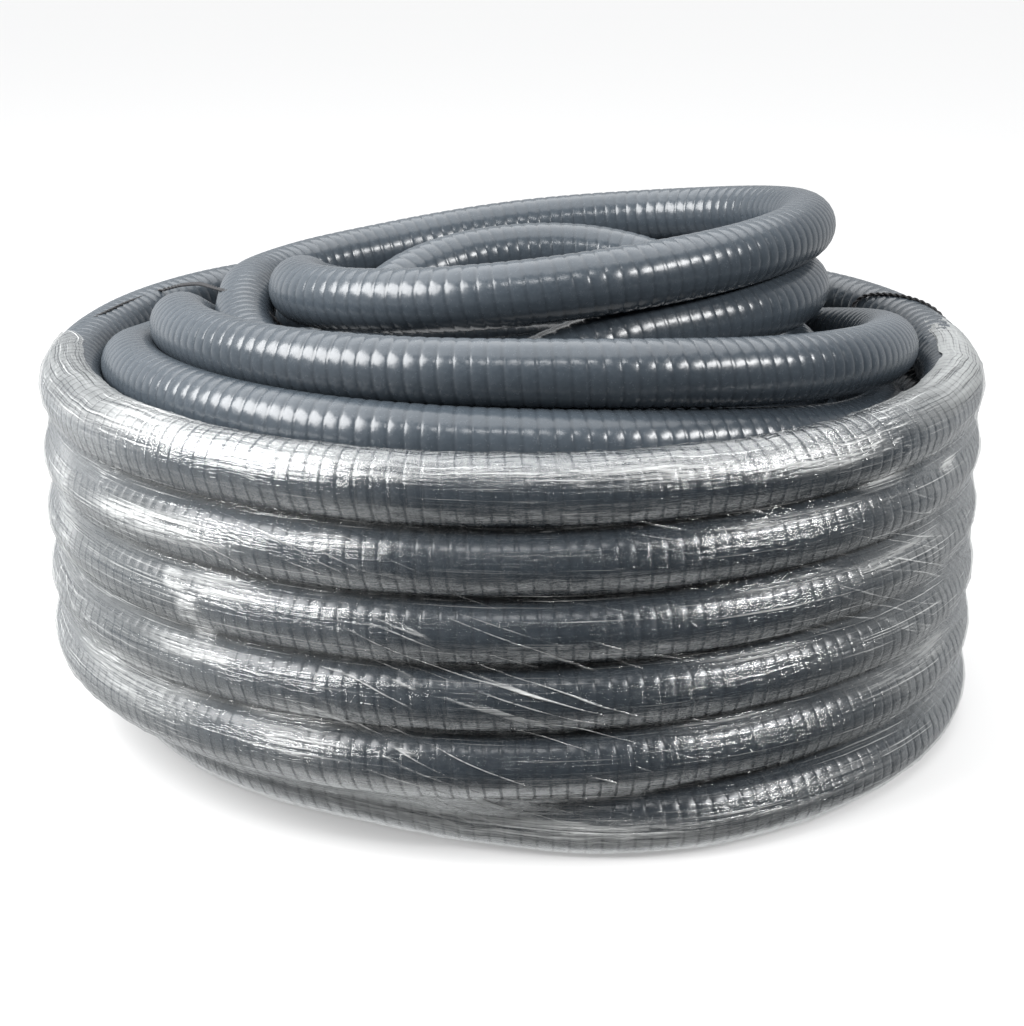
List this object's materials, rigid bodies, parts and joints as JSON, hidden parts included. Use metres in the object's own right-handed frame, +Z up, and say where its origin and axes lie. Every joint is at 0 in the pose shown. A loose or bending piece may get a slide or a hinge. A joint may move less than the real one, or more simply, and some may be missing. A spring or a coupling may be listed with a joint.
{
  "type": "waste hose coil",
  "caption": "Coil of spiral-ribbed caravan waste hose with loose turns on top, its outside wrapped in clear stretch film and its back held by twine ties.",
  "frame": {"origin": "on the floor at the coil's centre", "axes": "+Z up along the coil's axis, -Y towards the front, where the film covers the top row"},
  "size_m": [0.4784, 0.4784, 0.2515],
  "materials": {
    "hose_pvc": "glossy blue-grey flexible PVC",
    "clear_film": "clear glossy stretched film with a whitish haze",
    "tie_twine": "two-strand twisted black twine"
  },
  "bodies": {
    "root": {"outer_winding": "hose_pvc", "inner_winding": "hose_pvc", "lead_in": "hose_pvc", "loose_turns": "hose_pvc", "inner_end": "hose_pvc", "top_end": "hose_pvc", "stretch_film": "clear_film", "twine_tie_left": "tie_twine", "twine_tie_right": "tie_twine"}
  },
  "joints": []
}
